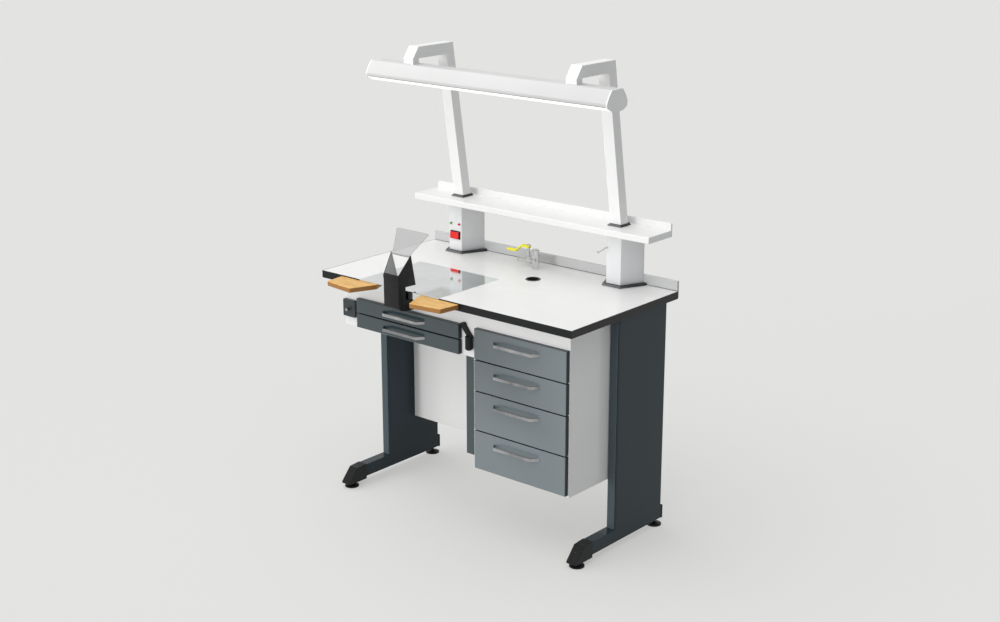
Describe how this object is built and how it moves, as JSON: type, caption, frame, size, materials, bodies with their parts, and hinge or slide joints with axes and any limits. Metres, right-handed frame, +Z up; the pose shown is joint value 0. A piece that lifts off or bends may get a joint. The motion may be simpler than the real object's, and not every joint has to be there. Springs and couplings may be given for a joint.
{
  "type": "jewellers bench",
  "caption": "Seated-height jewellers bench on T-shaped legs with drawers, armrests, a suction hood with a clear shield, a shelf, a gas tap and an overhead lamp.",
  "frame": {"origin": "on the floor, in the middle of the bench's footprint (its bounding box seen from above)", "axes": "+X to the right of the seated person, +Y away from that person, +Z up"},
  "size_m": [1.2, 0.7435, 1.74],
  "materials": {
    "white_laminate": "smooth white laminate",
    "black_edging": "satin black",
    "polished_steel": "mirror-polished steel sheet",
    "grey_steel": "dark blue-grey powder coat",
    "black_cast": "black powder coat",
    "grey_front": "semi-gloss grey-blue lacquer",
    "drawer_wood": "pale plywood",
    "handle_chrome": "bright chrome",
    "rail_steel": "bright steel",
    "black_plastic": "matt black plastic",
    "hood_black": "satin black plastic",
    "clear_shield": "clear, slightly grey",
    "armrest_wood": "oiled hardwood",
    "white_coat": "white powder coat",
    "tap_chrome": "bright chrome",
    "tap_yellow": "yellow plastic",
    "switch_red": "translucent red plastic",
    "indicator": "small coloured lenses",
    "diffuser": "opal plastic"
  },
  "bodies": {
    "bench": {"armrest_left": "armrest_wood", "armrest_right": "armrest_wood", "base_plates": "black_plastic", "cabinet_case": "white_laminate", "cable_grommet": "black_plastic", "control_plate": "black_plastic", "drawer_rails": "rail_steel", "edge_band": "black_edging", "front_frame": "white_laminate", "heel_caps": "black_plastic", "indicator_lamps": "indicator", "insert_plate": "polished_steel", "lamp_diffuser": "diffuser", "lamp_end_caps": "white_coat", "lamp_housing": "white_coat", "leg_left": "grey_steel", "leg_right": "grey_steel", "modesty_panel": "white_laminate", "pillar_hook": "tap_chrome", "pillar_left": "white_coat", "pillar_right": "white_coat", "post_left": "white_coat", "post_right": "white_coat", "shelf": "white_laminate", "suction_hood": "hood_black", "suction_housing": "grey_front", "switch_frame": "black_plastic", "tap_body": "tap_chrome", "toe_caps": "black_cast", "upper_case": "white_laminate", "upstand": "white_laminate", "worktop": "white_laminate"},
    "drawer_left_1": {"drawer_front_left_1": "grey_front", "drawer_box_left_1": "drawer_wood", "drawer_handle_left_1": "handle_chrome"},
    "drawer_left_2": {"drawer_front_left_2": "grey_front", "drawer_box_left_2": "drawer_wood", "drawer_handle_left_2": "handle_chrome"},
    "drawer_right_1": {"drawer_front_right_1": "grey_front", "drawer_box_right_1": "drawer_wood", "drawer_handle_right_1": "handle_chrome"},
    "drawer_right_2": {"drawer_front_right_2": "grey_front", "drawer_box_right_2": "drawer_wood", "drawer_handle_right_2": "handle_chrome"},
    "drawer_right_3": {"drawer_front_right_3": "grey_front", "drawer_box_right_3": "drawer_wood", "drawer_handle_right_3": "handle_chrome"},
    "drawer_right_4": {"drawer_front_right_4": "grey_front", "drawer_box_right_4": "drawer_wood", "drawer_handle_right_4": "handle_chrome"},
    "foot_front_left": {"levelling_foot_front_left": "black_plastic"},
    "foot_front_right": {"levelling_foot_front_right": "black_plastic"},
    "foot_rear_left": {"levelling_foot_rear_left": "black_plastic"},
    "foot_rear_right": {"levelling_foot_rear_right": "black_plastic"},
    "shield": {"tilt_shield": "clear_shield", "shield_rod": "rail_steel"},
    "knee_lever": {"knee_lever": "black_plastic"},
    "knob": {"push_pull_knob": "tap_chrome"},
    "rocker": {"rocker": "switch_red"},
    "tap_lever": {"tap_lever": "tap_yellow"}
  },
  "joints": [
    {"name": "drawer_left_1_slide", "type": "slide", "parent": "bench", "child": "drawer_left_1", "axis": [0, -1, 0], "range_m": [0, 0.3]},
    {"name": "drawer_left_2_slide", "type": "slide", "parent": "bench", "child": "drawer_left_2", "axis": [0, -1, 0], "range_m": [0, 0.3]},
    {"name": "drawer_right_1_slide", "type": "slide", "parent": "bench", "child": "drawer_right_1", "axis": [0, -1, 0], "range_m": [0, 0.3]},
    {"name": "drawer_right_2_slide", "type": "slide", "parent": "bench", "child": "drawer_right_2", "axis": [0, -1, 0], "range_m": [0, 0.3]},
    {"name": "drawer_right_3_slide", "type": "slide", "parent": "bench", "child": "drawer_right_3", "axis": [0, -1, 0], "range_m": [0, 0.3]},
    {"name": "drawer_right_4_slide", "type": "slide", "parent": "bench", "child": "drawer_right_4", "axis": [0, -1, 0], "range_m": [0, 0.3]},
    {"name": "foot_front_left_turn", "type": "hinge", "parent": "bench", "child": "foot_front_left", "pos_m": [-0.566, -0.178, 0], "axis": [0, 0, 1], "continuous": true},
    {"name": "foot_front_right_turn", "type": "hinge", "parent": "bench", "child": "foot_front_right", "pos_m": [0.566, -0.178, 0], "axis": [0, 0, 1], "continuous": true},
    {"name": "foot_rear_left_turn", "type": "hinge", "parent": "bench", "child": "foot_rear_left", "pos_m": [-0.566, 0.297, 0], "axis": [0, 0, 1], "continuous": true},
    {"name": "foot_rear_right_turn", "type": "hinge", "parent": "bench", "child": "foot_rear_right", "pos_m": [0.566, 0.297, 0], "axis": [0, 0, 1], "continuous": true},
    {"name": "shield_tilt", "type": "hinge", "parent": "bench", "child": "shield", "pos_m": [-0.201, -0.254, 1.0285], "axis": [1, 0, 0], "range_deg": [-40, 40]},
    {"name": "knee_lever_swing", "type": "hinge", "parent": "bench", "child": "knee_lever", "pos_m": [0.064, -0.205, 0.806], "axis": [0, 1, 0], "range_deg": [0, 20], "stiffness_Nm_per_rad": 0.6, "springref_deg": -17.19},
    {"name": "knob_pull", "type": "slide", "parent": "bench", "child": "knob", "axis": [0, -1, 0], "range_m": [0, 0.006]},
    {"name": "rocker_switch", "type": "hinge", "parent": "bench", "child": "rocker", "pos_m": [-0.397, 0.264, 0.9745], "axis": [1, 0, 0], "range_deg": [-8, 0]},
    {"name": "tap_lever_turn", "type": "hinge", "parent": "bench", "child": "tap_lever", "pos_m": [-0.029, 0.272, 0.981], "axis": [0, 0, 1], "range_deg": [0, 90]}
  ]
}
